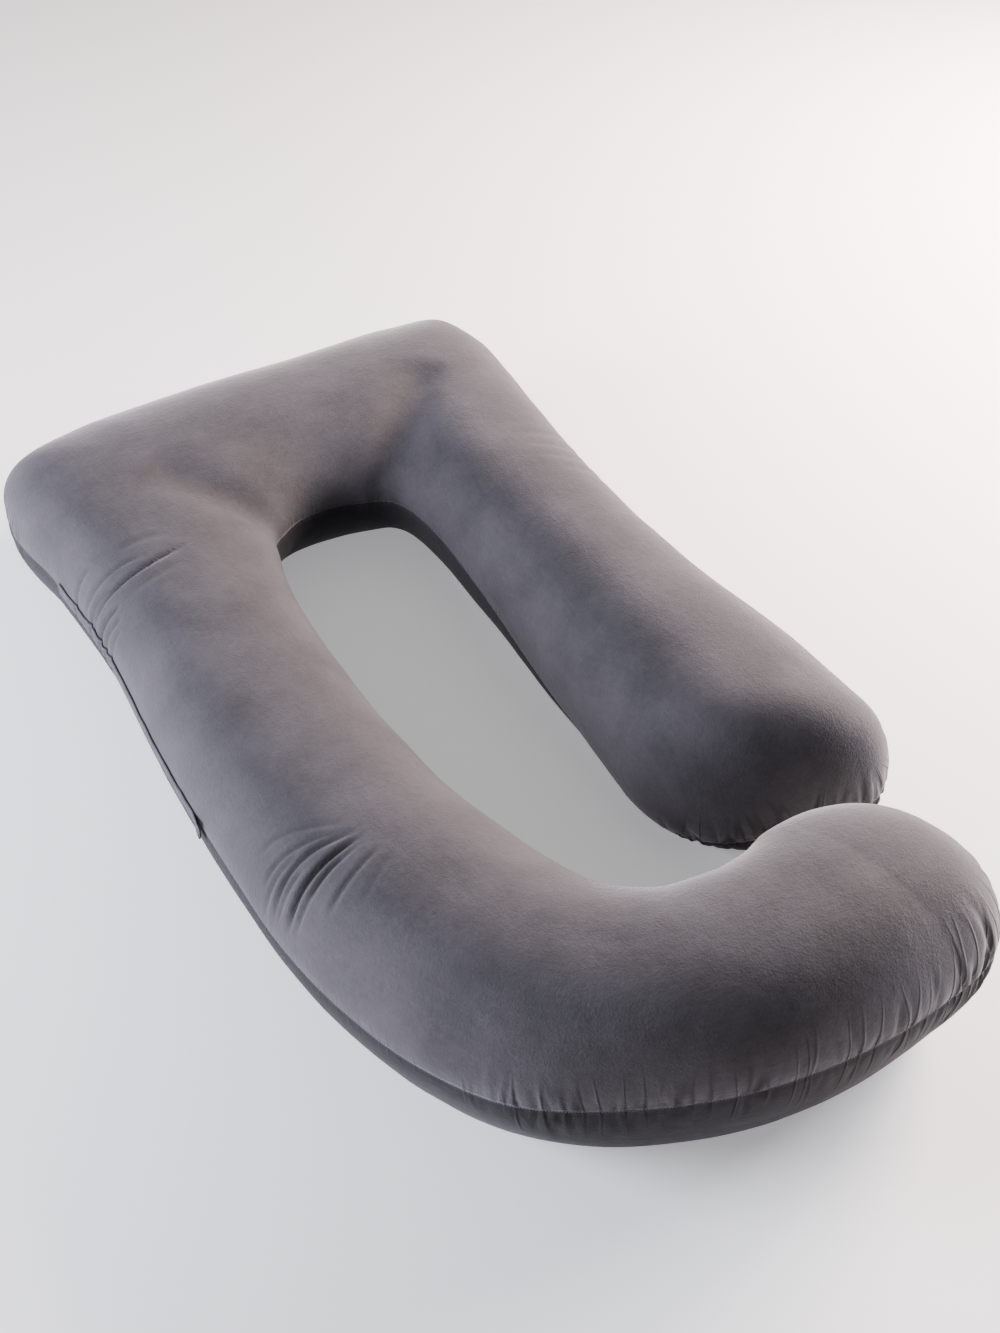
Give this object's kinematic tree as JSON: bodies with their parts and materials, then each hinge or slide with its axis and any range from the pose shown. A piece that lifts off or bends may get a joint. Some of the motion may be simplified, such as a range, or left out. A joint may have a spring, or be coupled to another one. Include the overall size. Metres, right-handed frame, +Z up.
{
  "type": "pregnancy pillow",
  "caption": "Full-length filled body pillow in grey velvet, bent into a U with a square head end, one long arm that ends in a hook, and one short arm.",
  "frame": {"origin": "middle of the pillow's footprint, on the surface it lies on", "axes": "+Z up, +Y to the closed square head end, +X to the side of the short arm; the hook is at -Y"},
  "size_m": [0.8036, 1.4544, 0.272],
  "materials": {
    "velvet": "short-pile polyester velvet, mid grey, soft sheen",
    "placket": "folded velvet flap over the zip, top-stitched, darker where the pile is pressed"
  },
  "bodies": {
    "root": {"pillow": "velvet", "zip_placket": "placket"}
  },
  "joints": []
}
